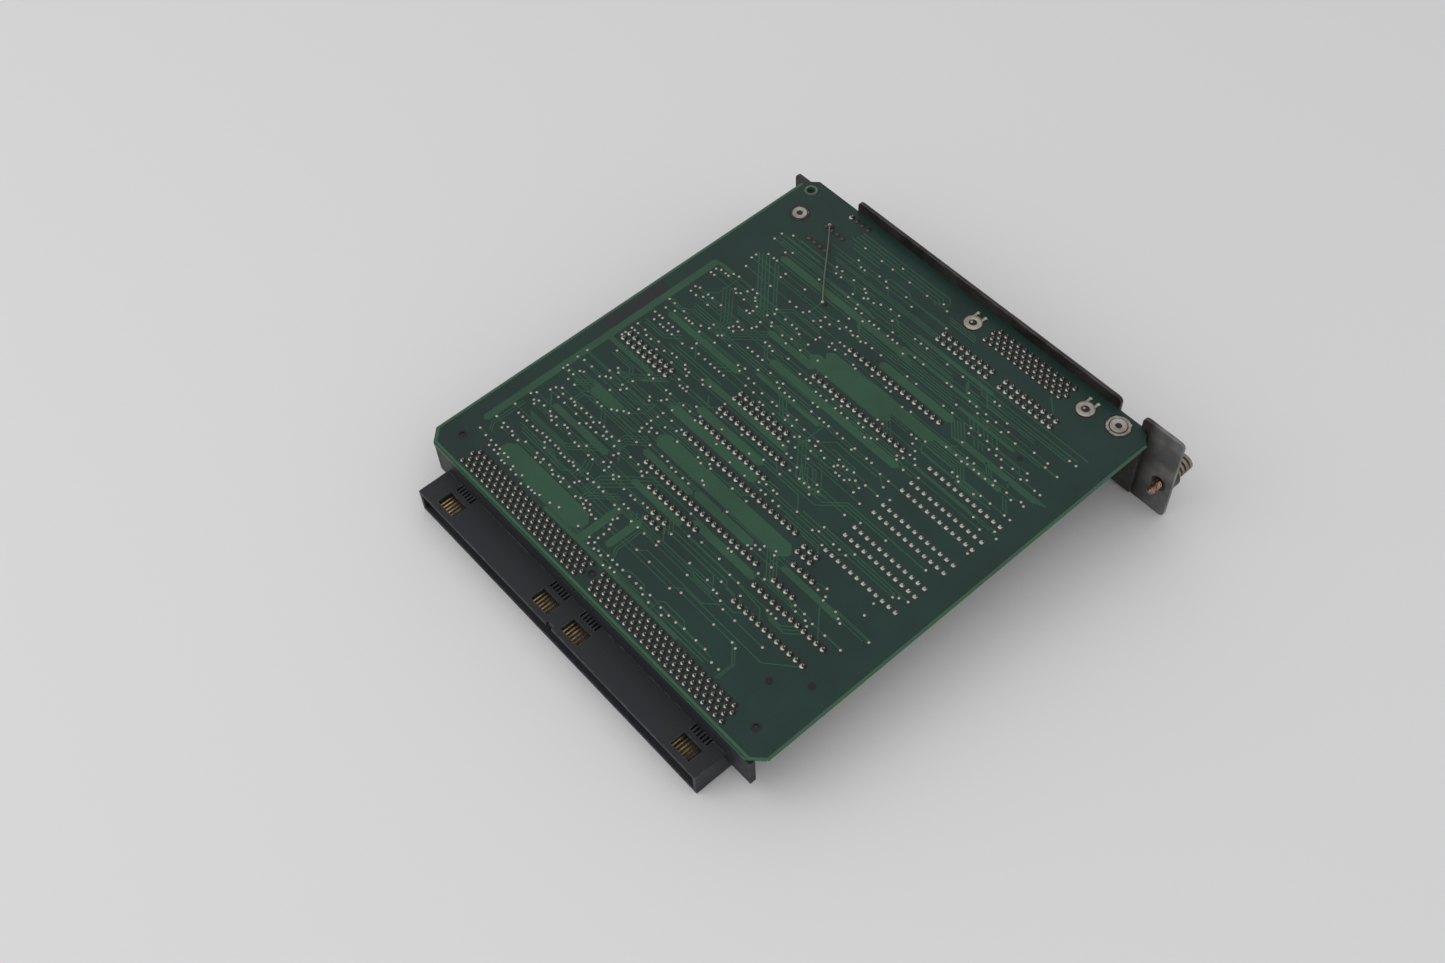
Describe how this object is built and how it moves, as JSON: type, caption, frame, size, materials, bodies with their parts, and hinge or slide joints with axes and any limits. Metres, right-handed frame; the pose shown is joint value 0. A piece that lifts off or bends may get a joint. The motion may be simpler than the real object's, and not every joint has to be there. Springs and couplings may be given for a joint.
{
  "type": "driver board",
  "caption": "Plug-in driver board: printed board with a right-angled backplane connector at the rear, a sheet front panel with captive screws, and sockets and packages beneath.",
  "frame": {"origin": "under the middle of the unit's length and width, at the height of the front panel's lower edge", "axes": "+X along the backplane connector, +Y towards the front panel, +Z out of the solder side"},
  "size_m": [0.1662, 0.1844, 0.0362],
  "materials": {
    "laminate": "green solder mask over glass-epoxy laminate, worn satin",
    "black_moulding": "black glass-filled moulding, satin",
    "gold_contact": "thin gold plating",
    "solder": "dull tin-lead solder",
    "tinned_metal": "tinned brass",
    "panel_metal": "dark paint, scuffed along the edges",
    "nickel": "nickel over brass, tarnished",
    "steel_screw": "zinc plated steel",
    "steel_shell": "tinned steel sheet",
    "bracket_steel": "zinc plated sheet steel",
    "socket_moulding": "black moulding",
    "network_coat": "dipped resin coat",
    "aluminium_can": "bare drawn aluminium",
    "lamp_resin": "tinted clear resin",
    "wire_jacket": "thin green-grey insulation",
    "chip_resin": "black moulded resin"
  },
  "bodies": {
    "root": {"backplane_contacts": "gold_contact", "backplane_housing": "black_moulding", "backplane_tails": "solder", "board": "laminate", "board_locks": "tinned_metal", "board_rivets": "tinned_metal", "bus_chip_1": "chip_resin", "bus_chip_2": "chip_resin", "bus_chip_3": "chip_resin", "bus_chip_4": "chip_resin", "capacitor_cans": "aluminium_can", "captive_ferrule": "nickel", "captive_screw": "nickel", "clock_can": "steel_shell", "flush_joints": "solder", "front_connector_body": "black_moulding", "front_connector_shell": "steel_shell", "front_panel": "panel_metal", "front_tails": "solder", "gate_array": "chip_resin", "interface_ic_1": "chip_resin", "interface_ic_2": "chip_resin", "jack_posts": "nickel", "lamp_holder": "black_moulding", "lamps": "lamp_resin", "latch_chip_1": "chip_resin", "latch_chip_2": "chip_resin", "latch_chip_3": "chip_resin", "latch_chip_4": "chip_resin", "left_bracket": "bracket_steel", "line_chip_1": "chip_resin", "line_chip_2": "chip_resin", "output_driver_1": "chip_resin", "output_driver_2": "chip_resin", "output_driver_3": "chip_resin", "output_driver_4": "chip_resin", "package_leads": "tinned_metal", "panel_screws": "steel_screw", "processor": "chip_resin", "processor_socket": "socket_moulding", "program_memory": "chip_resin", "program_memory_socket": "socket_moulding", "repair_wire": "wire_jacket", "resistor_networks": "network_coat", "right_bracket": "bracket_steel", "setting_ic": "chip_resin", "shunt_headers": "black_moulding", "shunts": "socket_moulding", "socket_strips": "socket_moulding", "solder_joints": "solder", "timer_ic": "chip_resin"}
  },
  "joints": []
}
